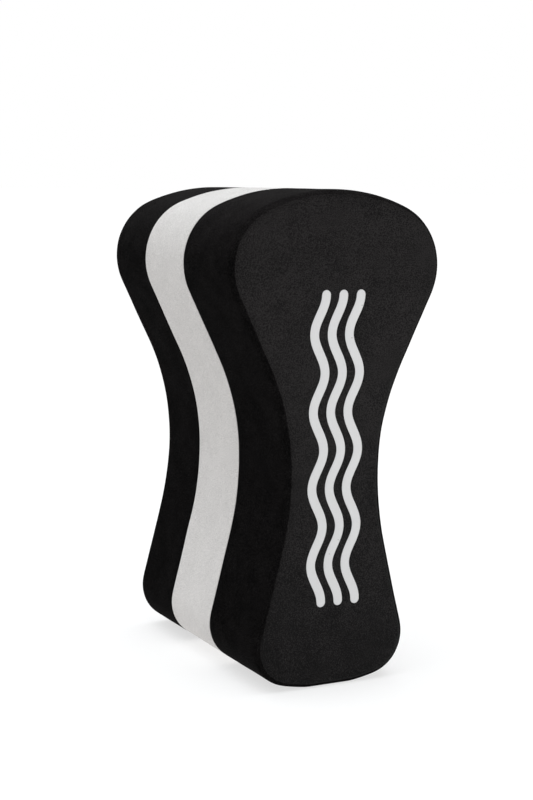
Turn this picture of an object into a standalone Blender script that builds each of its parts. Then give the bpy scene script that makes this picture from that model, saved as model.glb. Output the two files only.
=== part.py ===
"""A swimmer's pull buoy: three sheets of EVA foam bonded face to face, cut as one block to a
waisted outline, with three wavy lines hot-pressed into the front face.

Metres. +Z runs up the buoy, its front face looks along -Y, and the origin is the middle of the
flat that it stands on.
"""

import math

import bmesh
import bpy

# The outline, seen from the front: a wide top lobe, a waist for the thighs, a narrower foot.
HEIGHT = 0.240
TOP_WIDTH = 0.1135
FOOT_WIDTH = 0.082
WAIST_WIDTH = 0.051
WAIST_HEIGHT = 0.105
CROWN_RADIUS = 0.095
SHOULDER_RADIUS = 0.031
UPPER_FLANK = 0.0364  # the straight run between a shoulder and the waist's curve
LOWER_FLANK = 0.0424  # the straight run between the waist's curve and a heel
HEEL_RADIUS = 0.0205
SOLE_RADIUS = 0.108
BASE_FLAT_WIDTH = 0.024

# The layers, from the front face to the rear face, and the bond film between each two.
FRONT_LAYER = 0.052
MIDDLE_LAYER = 0.046
REAR_LAYER = 0.042
BOND_FILM = 0.0004
BOND_SETBACK = 0.001  # how far the film's edge stays in from the cut side of the foam
RIM_RADIUS = 0.0035  # the rounding round the front face and the rear face
RIM_SEGMENTS = 4

# The printed lines: a thin film, its outer side level with the front face.
LINE_COUNT = 3
LINE_PITCH = 0.0094
LINE_LENGTH = 0.153
LINE_CENTRE_HEIGHT = 0.1165
LINE_WIDTH = 0.0048
LINE_SWING = 0.003  # from the middle of a line's wave to its crest
LINE_WAVES = 4
LINE_FILM = 0.0004

GAP = 0.0003  # between two pieces that touch
OVERCUT = 0.002  # how far a cutter stands out of the face that it cuts
CHORD = 0.003  # the longest straight step round the outline
LINE_CHORD = 0.0016  # the same along a printed line
SAME_POINT = 1e-6  # points nearer than this are one point
SAME_PLANE = 1e-5  # how near a corner lies to a face that it belongs to
SHARP_ANGLE = math.radians(35)  # edges turned more than this are shaded sharp
RIM_ANGLE = math.radians(45)  # an outer edge of a face turns more than this

DEPTH = FRONT_LAYER + MIDDLE_LAYER + REAR_LAYER + 2 * (BOND_FILM + 2 * GAP)

BLACK_FOAM = {"name": "black_eva_foam", "color": (0.019, 0.019, 0.020), "roughness": 0.85}
WHITE_FOAM = {"name": "white_eva_foam", "color": (0.680, 0.665, 0.645), "roughness": 0.80}
ADHESIVE = {"name": "contact_adhesive", "color": (0.110, 0.095, 0.075), "roughness": 0.45}
LINE_PRINT = {"name": "heat_transfer_print", "color": (0.720, 0.720, 0.715), "roughness": 0.55}


def clear_scene():
    for obj in list(bpy.data.objects):
        bpy.data.objects.remove(obj, do_unlink=True)


def new_collection(name):
    collection = bpy.data.collections.new(name)
    bpy.context.scene.collection.children.link(collection)
    return collection


def principled(name, color, roughness):
    material = bpy.data.materials.new(name)
    material.use_nodes = True
    shader = material.node_tree.nodes["Principled BSDF"]
    shader.inputs["Base Color"].default_value = (*color, 1.0)
    shader.inputs["Roughness"].default_value = roughness
    shader.inputs["Metallic"].default_value = 0.0
    material.diffuse_color = (*color, 1.0)
    return material


def arc(centre, radius, start, end, chord):
    """Points from angle start to angle end, both included, on a circle."""
    steps = max(2, math.ceil(abs(end - start) * radius / chord))
    angles = [start + (end - start) * step / steps for step in range(steps + 1)]
    return [(centre[0] + radius * math.cos(a), centre[1] + radius * math.sin(a)) for a in angles]


def corner_centre(arc_height, arc_radius, half_width, radius, side):
    """The centre of a corner that touches the end arc inside and reaches half_width.

    side is 1 for a corner above the end arc's centre, and -1 for one below it.
    """
    x = half_width - radius
    return x, arc_height + side * math.sqrt((arc_radius - radius) ** 2 - x**2)


def waist_radius(corner, radius, flank):
    """The waist's radius, so that a straight flank of this length touches it and the corner."""
    across = WAIST_WIDTH / 2 - corner[0]
    up = WAIST_HEIGHT - corner[1]
    return (across**2 + up**2 - flank**2 - radius**2) / (2 * (radius - across))


def flank_angle(corner, radius, waist, side):
    """The direction from the corner's centre to where its flank leaves it."""
    centre = (WAIST_WIDTH / 2 + waist, WAIST_HEIGHT)
    across, up = centre[0] - corner[0], centre[1] - corner[1]
    lean = math.acos((radius + waist) / math.hypot(across, up))
    return math.atan2(up, across) + side * lean


def half_outline(inset):
    """The right half, from the middle of the crown down to the base, moved in by inset."""
    crown = (0.0, HEIGHT - CROWN_RADIUS)
    shoulder = corner_centre(crown[1], CROWN_RADIUS, TOP_WIDTH / 2, SHOULDER_RADIUS, 1)
    sole = (0.0, math.sqrt(SOLE_RADIUS**2 - (BASE_FLAT_WIDTH / 2) ** 2))
    heel = corner_centre(sole[1], SOLE_RADIUS, FOOT_WIDTH / 2, HEEL_RADIUS, -1)
    upper = waist_radius(shoulder, SHOULDER_RADIUS, UPPER_FLANK)
    lower = waist_radius(heel, HEEL_RADIUS, LOWER_FLANK)

    crown_end = math.atan2(shoulder[1] - crown[1], shoulder[0])
    shoulder_end = flank_angle(shoulder, SHOULDER_RADIUS, upper, 1)
    heel_start = flank_angle(heel, HEEL_RADIUS, lower, -1)
    sole_start = math.atan2(heel[1] - sole[1], heel[0])
    sole_end = math.asin((inset - sole[1]) / (SOLE_RADIUS - inset))

    points = arc(crown, CROWN_RADIUS - inset, math.pi / 2, crown_end, CHORD)
    points += arc(shoulder, SHOULDER_RADIUS - inset, crown_end, shoulder_end, CHORD)
    upper_centre = (WAIST_WIDTH / 2 + upper, WAIST_HEIGHT)
    points += arc(upper_centre, upper + inset, shoulder_end + math.pi, math.pi, CHORD)
    lower_centre = (WAIST_WIDTH / 2 + lower, WAIST_HEIGHT)
    points += arc(lower_centre, lower + inset, math.pi, heel_start + math.pi, CHORD)
    points += arc(heel, HEEL_RADIUS - inset, heel_start, sole_start, CHORD)
    points += arc(sole, SOLE_RADIUS - inset, sole_start, sole_end, CHORD)
    return points


def outline(inset=0.0):
    """The closed outline, each point once."""
    right = half_outline(inset)
    left = [(-x, z) for x, z in reversed(right[1:])]
    points = right + left
    following = points[1:] + points[:1]
    return [p for p, after in zip(points, following) if math.dist(p, after) > SAME_POINT]


def wavy_line(middle, half_width):
    """The outline of one printed line: a cosine wave of even width with round ends."""
    straight = LINE_LENGTH - LINE_WIDTH
    foot = LINE_CENTRE_HEIGHT - straight / 2
    turns = 2 * math.pi * LINE_WAVES
    steps = math.ceil(straight / LINE_CHORD)
    right, left = [], []
    for step in range(steps + 1):
        share = step / steps
        x = middle + LINE_SWING * math.cos(turns * share)
        z = foot + straight * share
        slope = -LINE_SWING * turns * math.sin(turns * share) / straight
        length = math.hypot(slope, 1.0)
        right.append((x + half_width / length, z - half_width * slope / length))
        left.append((x - half_width / length, z + half_width * slope / length))
    top = arc((middle + LINE_SWING, foot + straight), half_width, 0.0, math.pi, LINE_CHORD / 2)
    bottom = arc((middle + LINE_SWING, foot), half_width, math.pi, 2 * math.pi, LINE_CHORD / 2)
    return right[:-1] + top + left[-2:0:-1] + bottom[:-1]


def slab(name, points, front, thickness, collection, material=None):
    """A flat outline, given as (x, z), made solid from y = front back by thickness."""
    flat = bpy.data.curves.new(name + "_outline", "CURVE")
    flat.dimensions = "2D"
    flat.fill_mode = "BOTH"
    flat.extrude = thickness / 2
    spline = flat.splines.new("POLY")
    spline.points.add(len(points) - 1)
    for point, (x, z) in zip(spline.points, points):
        point.co = (x, z, 0.0, 1.0)
    spline.use_cyclic_u = True
    guide = bpy.data.objects.new(name + "_outline", flat)
    guide.location = (0.0, front + thickness / 2, 0.0)
    guide.rotation_euler = (math.pi / 2, 0.0, 0.0)
    collection.objects.link(guide)

    bpy.context.view_layer.update()
    evaluated = guide.evaluated_get(bpy.context.evaluated_depsgraph_get())
    mesh = bpy.data.meshes.new_from_object(evaluated)
    mesh.name = name
    shape = bmesh.new()
    shape.from_mesh(mesh)
    bmesh.ops.remove_doubles(shape, verts=shape.verts, dist=SAME_POINT)
    bmesh.ops.recalc_face_normals(shape, faces=shape.faces)
    shape.to_mesh(mesh)
    shape.free()

    piece = bpy.data.objects.new(name, mesh)
    piece.matrix_world = guide.matrix_world
    collection.objects.link(piece)
    bpy.data.objects.remove(guide, do_unlink=True)
    mesh.materials.clear()
    if material:
        mesh.materials.append(material)
    return piece


def round_rim(piece, y):
    """Round the outer edge of the slab's face at this y."""
    shape = bmesh.new()
    shape.from_mesh(piece.data)
    weight = shape.edges.layers.float.new("bevel_weight_edge")
    for edge in shape.edges:
        on_face = all(abs((piece.matrix_world @ v.co).y - y) < SAME_PLANE for v in edge.verts)
        if on_face and edge.calc_face_angle(0.0) > RIM_ANGLE:
            edge[weight] = 1.0
    shape.to_mesh(piece.data)
    shape.free()
    bevel = piece.modifiers.new("rim", "BEVEL")
    bevel.limit_method = "WEIGHT"
    bevel.width = RIM_RADIUS
    bevel.segments = RIM_SEGMENTS


def smooth(piece):
    piece.data.shade_smooth()
    piece.data.set_sharp_from_angle(angle=SHARP_ANGLE)


def line_middles():
    return [(index - (LINE_COUNT - 1) / 2) * LINE_PITCH for index in range(LINE_COUNT)]


def build_layers(pieces, black, white):
    """The three sheets of foam, front to back."""
    bond_line = BOND_FILM + 2 * GAP
    front_y = -DEPTH / 2
    middle_y = front_y + FRONT_LAYER + bond_line
    rear_y = middle_y + MIDDLE_LAYER + bond_line
    front = slab("front_foam_layer", outline(), front_y, FRONT_LAYER, pieces, black)
    middle = slab("middle_foam_layer", outline(), middle_y, MIDDLE_LAYER, pieces, white)
    rear = slab("rear_foam_layer", outline(), rear_y, REAR_LAYER, pieces, black)
    round_rim(front, front_y)
    round_rim(rear, DEPTH / 2)
    for piece in (front, middle, rear):
        smooth(piece)
    return front


def build_bond_films(pieces, adhesive):
    """The glue between the layers, a little smaller than the foam all round."""
    points = outline(BOND_SETBACK)
    first = -DEPTH / 2 + FRONT_LAYER + GAP
    second = first + BOND_FILM + GAP + MIDDLE_LAYER + GAP
    slab("front_bond_film", points, first, BOND_FILM, pieces, adhesive)
    slab("rear_bond_film", points, second, BOND_FILM, pieces, adhesive)


def build_lines(pieces, cutters, front, printed):
    """The printed lines, each in a pocket of its own shape in the front face."""
    face = -DEPTH / 2
    for number, middle in enumerate(line_middles(), start=1):
        name = f"printed_wave_line_{number}"
        slab(name, wavy_line(middle, LINE_WIDTH / 2), face, LINE_FILM, pieces, printed)
        depth = OVERCUT + LINE_FILM + GAP
        pocket = wavy_line(middle, LINE_WIDTH / 2 + GAP)
        cutter = slab(f"pocket_{number}", pocket, face - OVERCUT, depth, cutters)
        cutter.hide_render = True
        cutter.display_type = "WIRE"
        cut = front.modifiers.new(f"pocket_{number}", "BOOLEAN")
        cut.operation = "DIFFERENCE"
        cut.solver = "EXACT"
        cut.object = cutter


def main():
    clear_scene()
    pieces = new_collection("pull_buoy")
    cutters = new_collection("cutters")
    cutters.hide_render = True
    front = build_layers(pieces, principled(**BLACK_FOAM), principled(**WHITE_FOAM))
    build_bond_films(pieces, principled(**ADHESIVE))
    build_lines(pieces, cutters, front, principled(**LINE_PRINT))


main()
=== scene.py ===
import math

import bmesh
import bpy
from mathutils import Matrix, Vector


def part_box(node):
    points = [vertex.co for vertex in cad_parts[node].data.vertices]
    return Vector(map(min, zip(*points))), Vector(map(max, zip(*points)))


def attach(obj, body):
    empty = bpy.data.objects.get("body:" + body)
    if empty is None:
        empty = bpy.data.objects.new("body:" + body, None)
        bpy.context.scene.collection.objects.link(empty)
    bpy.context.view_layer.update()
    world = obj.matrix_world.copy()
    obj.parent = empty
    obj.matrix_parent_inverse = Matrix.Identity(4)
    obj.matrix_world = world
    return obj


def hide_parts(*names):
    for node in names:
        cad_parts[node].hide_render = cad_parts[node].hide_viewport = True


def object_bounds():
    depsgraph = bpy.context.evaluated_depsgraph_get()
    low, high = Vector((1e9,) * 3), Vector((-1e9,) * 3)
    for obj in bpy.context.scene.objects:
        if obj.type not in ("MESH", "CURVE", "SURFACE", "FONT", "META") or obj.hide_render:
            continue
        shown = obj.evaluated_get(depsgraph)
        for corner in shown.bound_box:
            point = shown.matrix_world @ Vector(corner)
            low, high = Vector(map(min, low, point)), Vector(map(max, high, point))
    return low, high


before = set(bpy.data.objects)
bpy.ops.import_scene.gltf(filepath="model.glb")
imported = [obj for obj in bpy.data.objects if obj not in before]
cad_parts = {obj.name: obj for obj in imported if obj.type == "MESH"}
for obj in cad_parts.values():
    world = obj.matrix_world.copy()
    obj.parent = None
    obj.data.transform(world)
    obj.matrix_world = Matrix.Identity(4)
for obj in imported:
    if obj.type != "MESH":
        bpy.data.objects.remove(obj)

# A swimmer's pull buoy: three sheets of EVA foam bonded face to face and cut as one block to a
# waisted outline, with three wavy lines hot-pressed into the front face. Each slab here is drawn
# from the outline of the frame's own solid, so shapes, sizes and places are the frame's.

cad_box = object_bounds()
MM = 0.001

# Foam blocks. A rounding is a radius and a number of segments.
RIM = (3.5 * MM, 4)  # round the front face and the rear face
SEAM = (0.3 * MM, 2)  # the softened arris where two sheets meet
SEAM_GAP = 0.12 * MM  # the hairline between two sheets at the surface
EDGE_BAND = 4.5 * MM  # from each face of a block to its first ring, which clears the rim
OUTLINE_STEP = 4.0 * MM  # the longest straight step round any piece
DEPTH_STEP = 4.0 * MM  # between the rings of a block, front to back
BLOCK_MARGIN, BLOCK_ROWS = 2 * MM, 26  # the band round a face, and the rows of faces inside it
SKIN_TILT = math.radians(22)  # how far round the rim the sheet's own skin reaches

# Glue and print
GLUE_THICKNESS = 0.06 * MM
GLUE_EDGE = (GLUE_THICKNESS / 4, 1)
GLUE_MARGIN, GLUE_ROWS = 2 * MM, 6
PRINT_THICKNESS = 0.35 * MM
PRINT_SINK = 0.06 * MM  # how far below the face the hot press leaves the print
PRINT_EDGE = (0.10 * MM, 2)
PRINT_MARGIN, PRINT_ROWS = 0.5 * MM, 4
POCKET_GAP = 0.05 * MM  # round each print
POCKET_OVERCUT = 1.0 * MM

# What counts as the same
SAME_POINT = 0.005 * MM
SAME_LEVEL = 0.01 * MM
ON_GLUED_FACE = 0.02 * MM  # what lies this near a glued face, once smoothed, is still part of it
STRAIGHT = math.radians(0.2)
SMOOTH_ANGLE = math.radians(40)  # faces that meet at less are shaded as one surface

# The unevenness of soft foam: its size across, and its height from trough to crest
SWELL_SIZE, SWELL_HEIGHT = 34 * MM, 0.55 * MM
DIMPLE_SIZE, DIMPLE_HEIGHT = 9 * MM, 0.10 * MM
STEADY_BASE = 8 * MM  # below this height the unevenness dies away, so that the buoy stands flat


# --- modelling -------------------------------------------------------------------------------


def only(piece):
    """Leaves one object selected and active, in object mode."""
    if bpy.context.mode != "OBJECT":
        bpy.ops.object.mode_set(mode="OBJECT")
    bpy.ops.object.select_all(action="DESELECT")
    piece.select_set(True)
    bpy.context.view_layer.objects.active = piece


def pick(piece, kind, test):
    """In edit mode, selects only the edges or faces that pass the test, and counts them."""
    bpy.ops.mesh.select_mode(type=kind)
    bpy.ops.mesh.select_all(action="DESELECT")
    shape = bmesh.from_edit_mesh(piece.data)
    chosen = [part for part in (shape.edges if kind == "EDGE" else shape.faces) if test(part)]
    for part in chosen:
        part.select_set(True)
    shape.select_flush_mode()
    bmesh.update_edit_mesh(piece.data)
    return len(chosen)


def at_y(y):
    """A test for edges and faces that lie in the plane at y."""
    return lambda part: all(abs(vert.co.y - y) < SAME_LEVEL for vert in part.verts)


def ends(verts):
    """The highest vertex of a ring, and every vertex of its lowest, level stretch."""
    top = max(verts, key=lambda vert: vert.co.z)
    low = min(vert.co.z for vert in verts)
    return {top, *(vert for vert in verts if vert.co.z < low + SAME_LEVEL)}


def outline_face(name, node, y):
    """The outline of one of the frame's slabs, as one flat face at y. It stays in edit mode."""
    piece = bpy.data.objects.new(name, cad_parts[node].data.copy())
    piece.data.name = name
    piece.data.materials.clear()
    bpy.context.scene.collection.objects.link(piece)
    only(piece)
    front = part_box(node)[0].y
    bpy.ops.object.mode_set(mode="EDIT")
    bpy.ops.mesh.select_all(action="SELECT")
    bpy.ops.mesh.remove_doubles(threshold=SAME_POINT)
    bpy.ops.mesh.dissolve_limited(angle_limit=STRAIGHT)
    pick(piece, "FACE", at_y(front))
    bpy.ops.mesh.select_all(action="INVERT")
    bpy.ops.mesh.delete(type="FACE")
    bpy.ops.mesh.select_all(action="SELECT")
    bpy.ops.mesh.delete(type="ONLY_FACE")
    while pick(piece, "EDGE", lambda edge: edge.calc_length() > OUTLINE_STEP):
        bpy.ops.mesh.subdivide(number_cuts=1)
    bpy.ops.mesh.select_all(action="SELECT")
    bpy.ops.transform.translate(value=(0.0, y - front, 0.0))
    bpy.ops.mesh.edge_face_add()
    return piece


def draw_back(piece, steps):
    """Makes a flat face solid by extruding it ring by ring. It stays in edit mode."""
    for step in steps:
        bpy.ops.mesh.extrude_region_move(TRANSFORM_OT_translate={"value": (0.0, step, 0.0)})
    bpy.ops.mesh.select_all(action="SELECT")
    bpy.ops.mesh.normals_make_consistent(inside=False)


def fill_face(piece, y, margin, rows):
    """Makes the face at y a band as wide as margin all round, and rows of faces inside it."""
    pick(piece, "FACE", at_y(y))
    bpy.ops.mesh.inset(thickness=margin, depth=0.0)
    bpy.ops.mesh.delete(type="ONLY_FACE")
    shape = bmesh.from_edit_mesh(piece.data)
    rim = [edge for edge in shape.edges if edge.is_boundary]
    top_and_foot = ends({vert for edge in rim for vert in edge.verts})
    sides = {edge.index for edge in rim if not set(edge.verts) & top_and_foot}
    pick(piece, "EDGE", lambda edge: edge.index in sides)
    bpy.ops.mesh.bridge_edge_loops(number_cuts=rows - 1, interpolation="LINEAR")
    pick(piece, "EDGE", lambda edge: edge.is_boundary)
    bpy.ops.mesh.fill_holes(sides=0)


def slab(name, node, front, rear, steps, edges, margin, rows):
    """A slab from front to rear in the outline of the frame's node.

    steps go from ring to ring, and edges holds the rounding round the front face, then round the
    rear face. margin is the width of the band round both faces, with so many rows inside it.
    """
    piece = outline_face(name, node, front)
    draw_back(piece, steps)
    for y, (radius, segments) in zip((front, rear), edges):
        pick(piece, "EDGE", at_y(y))
        bpy.ops.mesh.bevel(
            offset=radius, segments=segments, profile=0.5, affect="EDGES", clamp_overlap=False
        )
        fill_face(piece, y, margin, rows)
    bpy.ops.mesh.select_all(action="SELECT")
    bpy.ops.mesh.normals_make_consistent(inside=False)
    bpy.ops.object.mode_set(mode="OBJECT")
    return piece


def modify(piece, kind, **settings):
    """Adds a modifier with its settings and applies it."""
    only(piece)
    modifier = piece.modifiers.new(kind.lower(), kind)
    for name, value in settings.items():
        setattr(modifier, name, value)
    bpy.ops.object.modifier_apply(modifier=modifier.name)


def cloud_texture(name, size):
    """Soft blobs of about this size."""
    texture = bpy.data.textures.new(name, "CLOUDS")
    texture.noise_scale = size
    texture.noise_depth = 1
    return texture


def make_uneven(piece, flat_planes=(), direction="NORMAL", sense=1):
    """Gives a piece the foam's slow swell and faint dimples, but not on its glued faces."""
    loose = piece.vertex_groups.new(name="loose")
    for vert in piece.data.vertices:
        if all(abs(vert.co.y - y) > ON_GLUED_FACE for y in flat_planes):
            loose.add([vert.index], min(1.0, max(0.0, vert.co.z / STEADY_BASE)), "REPLACE")
    for texture, height in ((swell, SWELL_HEIGHT), (dimples, DIMPLE_HEIGHT)):
        modify(
            piece,
            "DISPLACE",
            texture=texture,
            texture_coords="LOCAL",
            vertex_group="loose",
            direction=direction,
            strength=sense * height,
            mid_level=0.5,
        )
    piece.vertex_groups.clear()


def foam_block(name, front, rear, rim):
    """One sheet of foam. rim is -1 if its front face is the buoy's, 1 if its rear face is.

    The three sheets were cut as one block, so they share the outline of the middle one.
    """
    depth = rear - front - 2 * EDGE_BAND
    rings = math.ceil(depth / DEPTH_STEP)
    piece = slab(
        name,
        "middle_foam_layer",
        front,
        rear,
        steps=[EDGE_BAND] + [depth / rings] * rings + [EDGE_BAND],
        edges=(RIM if rim < 0 else SEAM, RIM if rim > 0 else SEAM),
        margin=BLOCK_MARGIN,
        rows=BLOCK_ROWS,
    )
    modify(piece, "SUBSURF", levels=1, render_levels=1)
    make_uneven(piece, [y for y, side in ((front, -1), (rear, 1)) if side != rim])
    return piece


def press_print(block, number, front):
    """One printed line, and the pocket that the hot press leaves for it in the block."""
    node = f"printed_wave_line_{number}"
    surface = front + PRINT_SINK
    cutter = outline_face("cutter", node, front - POCKET_OVERCUT)
    draw_back(cutter, [POCKET_OVERCUT + PRINT_SINK + PRINT_THICKNESS])
    bpy.ops.transform.shrink_fatten(value=POCKET_GAP, use_even_offset=True)
    bpy.ops.object.mode_set(mode="OBJECT")
    make_uneven(cutter, direction="Y", sense=-1)
    modify(block, "BOOLEAN", operation="DIFFERENCE", solver="EXACT", object=cutter)
    bpy.data.objects.remove(cutter)

    piece = slab(
        f"pressed_wave_line_{number}",
        node,
        surface,
        surface + PRINT_THICKNESS,
        steps=[PRINT_THICKNESS],
        edges=(PRINT_EDGE, PRINT_EDGE),
        margin=PRINT_MARGIN,
        rows=PRINT_ROWS,
    )
    make_uneven(piece, direction="Y", sense=-1)
    return piece


def glue_film(name, node):
    """The thin film of glue that the frame's thicker one stands for."""
    low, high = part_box(node)
    front = (low.y + high.y - GLUE_THICKNESS) / 2
    return slab(
        name,
        node,
        front,
        front + GLUE_THICKNESS,
        steps=[GLUE_THICKNESS],
        edges=(GLUE_EDGE, GLUE_EDGE),
        margin=GLUE_MARGIN,
        rows=GLUE_ROWS,
    )


# --- materials -------------------------------------------------------------------------------


def linear(code):
    """An sRGB colour such as "c8c4be" as the linear colour that shaders take."""
    parts = [int(code[start : start + 2], 16) / 255 for start in (0, 2, 4)]
    return [*(p / 12.92 if p <= 0.04045 else ((p + 0.055) / 1.055) ** 2.4 for p in parts), 1.0]


def add(tree, kind, sockets, **settings):
    """Adds a node with its settings. A socket takes a value, or another node's output."""
    made = tree.nodes.new("ShaderNode" + kind)
    for name, value in settings.items():
        setattr(made, name, value)
    for name, value in sockets.items():
        if isinstance(value, bpy.types.NodeSocket):
            tree.links.new(value, made.inputs[name])
        else:
            made.inputs[name].default_value = value
    return made.outputs


FIRST, SECOND, MIXED = 6, 7, 2  # the colour sockets of a Mix node, and its colour output

CELL_SIZE = 0.4 * MM  # real cells are 0.1 to 0.3 mm: drawn coarser, so that the grain shows
CLOUD_SIZE = 11 * MM  # the patches where the foam is a little more or less dense
STREAK_LENGTH, STREAK_WIDTH = 28 * MM, 1.3 * MM  # the marks of the hot wire
PRINT_GRAIN, PRINT_GRAIN_HEIGHT = 0.7 * MM, 0.015 * MM  # the film's faint orange peel
PINHOLE_SPACING = 6 * MM
PINHOLE_RADII = (0.03, 0.05)  # of its dark middle and its soft edge, as shares of the spacing
GLUE_RIPPLE = 3 * MM  # where the glue lies thicker and thinner
TOP = cad_box[1].z


def new_material(name, **constants):
    """A material with constants on its shader's own sockets, and Object coordinates to draw by."""
    material = bpy.data.materials.new(name)
    material.use_nodes = True
    tree = material.node_tree
    shader = tree.nodes["Principled BSDF"]
    for socket, value in constants.items():
        shader.inputs[socket.replace("_", " ")].default_value = value
    place = add(tree, "TexCoord", {})["Object"]
    return material, tree, shader, place


def foam_material(name, dark, light, level, grain, clouds, relief, streak, painted_light_range, **constants):
    """Closed-cell foam: cells as fine grain over cloudy patches, and the cutter's streaks.

    Its colour varies between dark and light: level says where it lies at the foot, grain and
    clouds how widely it varies, and painted_light_range = (low, high, change) how far the colour
    moves from low to high, towards light where change is above 0 and towards dark where it is below:
    painted light and shade by height. relief is the height of the cells and streak that of the
    cutter's marks, which run round the outline.
    """
    material, tree, shader, place = new_material(name, **constants)
    cells = add(
        tree, "TexNoise", {"Vector": place, "Scale": 1 / CELL_SIZE, "Detail": 1.0, "Roughness": 0.6}
    )["Fac"]
    patches = add(
        tree, "TexNoise", {"Vector": place, "Scale": 1 / CLOUD_SIZE, "Detail": 3.0, "Roughness": 0.55}
    )["Fac"]
    drawn_out = add(
        tree,
        "Mapping",
        {"Vector": place, "Scale": (1 / STREAK_LENGTH, 1 / STREAK_WIDTH, 1 / STREAK_LENGTH)},
    )["Vector"]
    streaks = add(tree, "TexNoise", {"Vector": drawn_out, "Scale": 1.0, "Detail": 2.0})["Fac"]

    fine = add(
        tree,
        "MapRange",
        {"Value": cells, "To Min": -grain / 2, "To Max": grain / 2},
        clamp=False,
    )["Result"]
    slow = add(
        tree,
        "MapRange",
        {"Value": patches, "To Min": level - clouds / 2, "To Max": level + clouds / 2},
        clamp=False,
    )["Result"]
    low, high, change = painted_light_range
    # painted light and shade by height: between two heights the colour moves towards light, or towards
    # dark where change is below 0, standing in for how the lamps fall on the foam
    height = add(tree, "SeparateXYZ", {"Vector": place})["Z"]
    painted_light_shift = add(
        tree, "MapRange", {"Value": height, "From Min": low, "From Max": high, "To Max": change}
    )["Result"]
    mottled = add(tree, "Math", {0: fine, 1: slow}, operation="ADD")["Value"]
    shade = add(tree, "Math", {0: mottled, 1: painted_light_shift}, operation="ADD", use_clamp=True)["Value"]
    colour = add(
        tree,
        "Mix",
        {"Factor": shade, FIRST: linear(dark), SECOND: linear(light)},
        data_type="RGBA",
    )[MIXED]
    tree.links.new(colour, shader.inputs["Base Color"])

    marks = add(tree, "Bump", {"Height": streaks, "Distance": streak, "Strength": 1.0})["Normal"]
    bumps = add(
        tree,
        "Bump",
        {"Height": cells, "Distance": relief, "Strength": 1.0, "Normal": marks},
    )["Normal"]
    tree.links.new(bumps, shader.inputs["Normal"])
    return material


def black_cut_foam():
    """Black EVA foam where the hot wire cut it: opened cells swallow the light, so it is the
    darkest finish, velvety and cloudy, with no highlight of its own; its top 32 mm is painted
    lighter, a painted sheen where the light grazes the top."""
    return foam_material(
        "black_EVA_foam_wire_cut",
        dark="050505",
        light="2a2828",
        level=0.13,
        grain=2.2,
        clouds=0.42,
        relief=0.12 * MM,
        streak=0.015 * MM,
        # painted sheen: the top 32 mm is painted lighter, where the overhead light grazes the top
        painted_light_range=(TOP - 32 * MM, TOP, 0.30),
        Roughness=0.9,
        Specular_IOR_Level=0.0,
        Sheen_Weight=0.03,
        Sheen_Roughness=0.25,
    )


def black_skin_foam():
    """Black EVA foam under its moulded skin: closed and slightly leathery, so it catches a broad
    soft sheen and looks a shade lighter than the cut sides. Its colour is painted darker towards
    the foot and lighter upwards: painted light that falls off towards the bottom of the face."""
    return foam_material(
        "black_EVA_foam_moulded_skin",
        dark="000000",
        light="222020",
        level=0.02,
        grain=6.0,
        clouds=1.2,
        relief=0.25 * MM,
        streak=0.0,
        # painted light and shade: darker at the foot, lighter from 10 mm up to 120 mm, where the lamps
        # light the face more
        painted_light_range=(10 * MM, 120 * MM, 0.55),
        Roughness=0.38,
        Specular_IOR_Level=0.07,
    )


def white_cut_foam():
    """White EVA foam where the hot wire cut it: chalky, a little warm, faintly mottled. It is
    painted darker from 50 mm up to 155 mm: painted light from the bright floor, which leaves the
    foot lighter than the upper flank.
    """
    return foam_material(
        "white_EVA_foam_wire_cut",
        dark="b0aeac",
        light="e0dddb",
        level=0.6,
        grain=2.4,
        clouds=0.3,
        relief=0.05 * MM,
        streak=0.008 * MM,
        # painted light and shade: lighter near the floor, whose bounce lights the foot, and darker up
        # to 155 mm
        painted_light_range=(50 * MM, 155 * MM, -0.21),
        Roughness=0.85,
        Specular_IOR_Level=0.1,
    )


def print_ink():
    """Heat-pressed white print: a thin even film, smoother than the foam, with a few pinholes
    where a cell of the foam comes through."""
    material, tree, shader, place = new_material(
        "white_heat_pressed_print", Roughness=0.5, Specular_IOR_Level=0.3
    )
    grain = add(tree, "TexNoise", {"Vector": place, "Scale": 1 / PRINT_GRAIN, "Detail": 2.0})["Fac"]
    film = add(
        tree,
        "Mix",
        {"Factor": grain, FIRST: linear("c8c8c8"), SECOND: linear("d0d0d0")},
        data_type="RGBA",
    )[MIXED]
    away = add(tree, "TexVoronoi", {"Vector": place, "Scale": 1 / PINHOLE_SPACING})["Distance"]
    middle, edge = PINHOLE_RADII
    hole = add(
        tree,
        "MapRange",
        {"Value": away, "From Min": middle, "From Max": edge, "To Min": 1.0, "To Max": 0.0},
    )["Result"]
    colour = add(
        tree,
        "Mix",
        {"Factor": hole, FIRST: film, SECOND: linear("7c7a77")},
        data_type="RGBA",
    )[MIXED]
    tree.links.new(colour, shader.inputs["Base Color"])
    bumps = add(
        tree, "Bump", {"Height": grain, "Distance": PRINT_GRAIN_HEIGHT, "Strength": 1.0}
    )["Normal"]
    tree.links.new(bumps, shader.inputs["Normal"])
    return material


def glue():
    """Contact cement: amber and slightly glossy, seen only as a thread deep in the seam."""
    material, tree, shader, place = new_material(
        "contact_cement", Roughness=0.4, Specular_IOR_Level=0.5
    )
    ripple = add(tree, "TexNoise", {"Vector": place, "Scale": 1 / GLUE_RIPPLE, "Detail": 2.0})["Fac"]
    colour = add(
        tree,
        "Mix",
        {"Factor": ripple, FIRST: linear("6b5638"), SECOND: linear("8a744f")},
        data_type="RGBA",
    )[MIXED]
    tree.links.new(colour, shader.inputs["Base Color"])
    return material


# --- the buoy --------------------------------------------------------------------------------


def finish_piece(piece, nodes, slot, *materials):
    """Shades a piece, gives it its materials, and ties it to the frame."""
    only(piece)
    bpy.ops.object.shade_smooth_by_angle(angle=SMOOTH_ANGLE)
    for material in materials:
        piece.data.materials.append(material)
    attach(piece, "root")
    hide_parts(*nodes)


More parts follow.
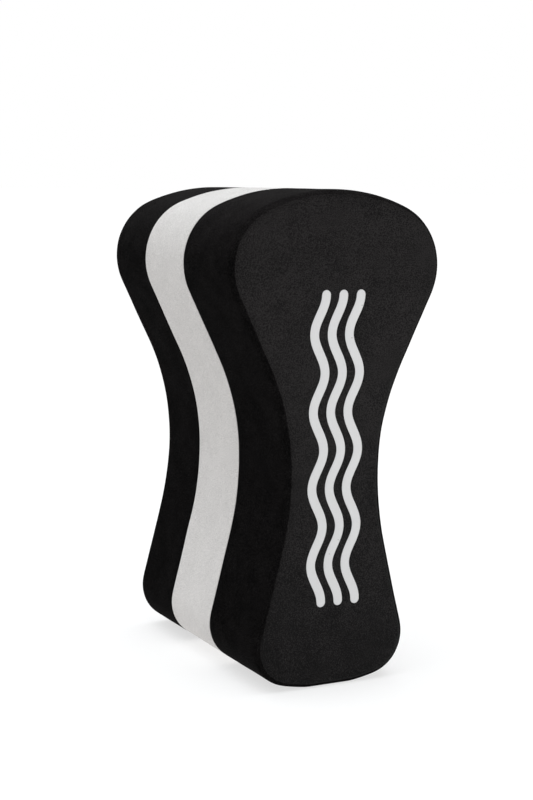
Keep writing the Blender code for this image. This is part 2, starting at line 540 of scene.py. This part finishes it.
def skin_the_face(block, face_y):
    """Gives the block's outer face its second material, a little way round the rim."""
    only(block)
    bpy.ops.object.mode_set(mode="EDIT")
    outwards = math.copysign(1, face_y)

    def has_skin(face):
        near = abs(face.calc_center_median().y - face_y) < RIM[0]
        return near and face.normal.y * outwards > math.cos(SKIN_TILT)

    pick(block, "FACE", has_skin)
    block.active_material_index = 1
    bpy.ops.object.material_slot_assign()
    bpy.ops.object.mode_set(mode="OBJECT")


swell = cloud_texture("swell", SWELL_SIZE)
dimples = cloud_texture("dimples", DIMPLE_SIZE)

front_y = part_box("front_foam_layer")[0].y
rear_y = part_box("rear_foam_layer")[1].y
seams = [
    sum(corner.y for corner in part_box(film)) / 2 for film in ("front_bond_film", "rear_bond_film")
]
half_gap = SEAM_GAP / 2

front_block = foam_block("front_foam_block", front_y, seams[0] - half_gap, rim=-1)
middle_block = foam_block("middle_foam_block", seams[0] + half_gap, seams[1] - half_gap, rim=0)
rear_block = foam_block("rear_foam_block", seams[1] + half_gap, rear_y, rim=1)
prints = [press_print(front_block, number, front_y) for number in (1, 2, 3)]
films = [glue_film(f"{side}_glue_film", f"{side}_bond_film") for side in ("front", "rear")]

black_cut, black_skin = black_cut_foam(), black_skin_foam()
finish_piece(front_block, ["front_foam_layer"], "black_foam", black_cut, black_skin)
finish_piece(middle_block, ["middle_foam_layer"], "white_foam", white_cut_foam())
finish_piece(rear_block, ["rear_foam_layer"], "black_foam", black_cut, black_skin)
skin_the_face(front_block, front_y)
skin_the_face(rear_block, rear_y)
ink, cement = print_ink(), glue()
for number, piece in enumerate(prints, start=1):
    finish_piece(piece, [f"printed_wave_line_{number}"], "printed_lines", ink)
for side, piece in zip(("front", "rear"), films):
    finish_piece(piece, [f"{side}_bond_film"], "adhesive", cement)


# --- the studio ------------------------------------------------------------------------------

WHITE = (1.0, 1.0, 1.0, 1.0)
BLACK = (0.0, 0.0, 0.0, 1.0)
PAPER_RADIUS = 60.0
PAPER_GLOW = 0.65  # the paper is lit from below as well, which keeps shadows faint
PAPER_FADE = (0.25, 1.1)  # from the buoy's surroundings to plain white, in metres

# The room, by direction. A height is the sine of the angle above the horizon. The walls have the
# brightness 1, but for the one that the buoy's front faces.
CEILING, CEILING_HEIGHTS = 0.35, (0.2, 0.45)  # its brightness, and where the walls pass into it
FRONT_WALL, FRONT_WALL_HEIGHTS = 0.35, (0.02, 0.06)  # and where the white horizon passes into it
FRONT_WALL_SIDES = (-0.6, -0.2)  # the directions in y between which it passes into the side walls

LENS = 70.77
CAMERA_PLACE = (-0.3693, -0.7143, 0.2409)
CAMERA_TURN = (82.254, -0.806, -27.177)  # in degrees


def softbox(name, place, target, size, power, colour=(1.0, 1.0, 1.0)):
    """A square area light at place that faces target."""
    data = bpy.data.lights.new(name, "AREA")
    data.size = size
    data.energy = power
    data.color = colour
    light = bpy.data.objects.new(name, data)
    bpy.context.scene.collection.objects.link(light)
    light.location = place
    direction = light.location - Vector(target)
    light.rotation_euler = direction.to_track_quat("Z", "Y").to_euler()


def paper():
    """White seamless paper on a light table, which fades into the white of the room."""
    material, tree, shader, place = new_material("white_paper_sweep", Roughness=0.9)
    away = add(tree, "VectorMath", {0: place}, operation="LENGTH")["Value"]
    near, far = PAPER_FADE
    glow = add(
        tree,
        "MapRange",
        {"Value": away, "From Min": near, "From Max": far, "To Min": PAPER_GLOW, "To Max": 1.0},
    )["Result"]
    tree.links.new(glow, shader.inputs["Emission Strength"])
    shader.inputs["Emission Color"].default_value = WHITE
    fade = add(tree, "MapRange", {"Value": away, "From Min": near, "From Max": far})["Result"]
    base = add(
        tree,
        "Mix",
        {"Factor": fade, FIRST: linear("a2a2a2"), SECOND: BLACK},
        data_type="RGBA",
    )[MIXED]
    tree.links.new(base, shader.inputs["Base Color"])
    return material


def white_room():
    """White walls under a dimmer ceiling, and a dimmer wall in front of the buoy."""
    world = bpy.data.worlds.new("white_room")
    bpy.context.scene.world = world
    world.use_nodes = True
    tree = world.node_tree
    direction = add(tree, "TexCoord", {})["Generated"]
    towards = add(tree, "SeparateXYZ", {"Vector": direction})

    low, high = FRONT_WALL_HEIGHTS
    front_wall = add(
        tree,
        "MapRange",
        {"Value": towards["Z"], "From Min": low, "From Max": high, "To Min": 1.0, "To Max": FRONT_WALL},
    )["Result"]
    front, side = FRONT_WALL_SIDES
    walls = add(
        tree,
        "MapRange",
        {"Value": towards["Y"], "From Min": front, "From Max": side, "To Min": front_wall},
    )["Result"]
    low, high = CEILING_HEIGHTS
    above = add(
        tree,
        "MapRange",
        {"Value": towards["Z"], "From Min": low, "From Max": high, "To Min": 1.0, "To Max": CEILING},
    )["Result"]
    glow = add(tree, "Math", {0: walls, 1: above}, operation="MULTIPLY")["Value"]
    background = tree.nodes["Background"]
    tree.links.new(glow, background.inputs["Strength"])
    background.inputs["Color"].default_value = WHITE


bpy.ops.object.select_all(action="DESELECT")
bpy.ops.mesh.primitive_circle_add(vertices=96, radius=PAPER_RADIUS, fill_type="NGON")
floor = bpy.context.object
floor.name = "studio_floor"
floor.data.materials.append(paper())

softbox(
    "overhead",
    place=(-0.12, 0.1, 1.4),
    target=(0.0, 0.0, 0.1),
    size=2.0,
    power=29.0,
    colour=(0.95, 0.98, 1.0),
)
softbox("key", place=(0.20, -0.6, 0.14), target=(-0.02, -0.07, 0.17), size=0.22, power=1.0)
white_room()
bpy.context.scene.view_settings.view_transform = "Standard"

camera_data = bpy.data.cameras.new("camera")
camera_data.lens = LENS
camera = bpy.data.objects.new("camera", camera_data)
bpy.context.scene.collection.objects.link(camera)
camera.location = CAMERA_PLACE
camera.rotation_euler = [math.radians(angle) for angle in CAMERA_TURN]
bpy.context.scene.camera = camera
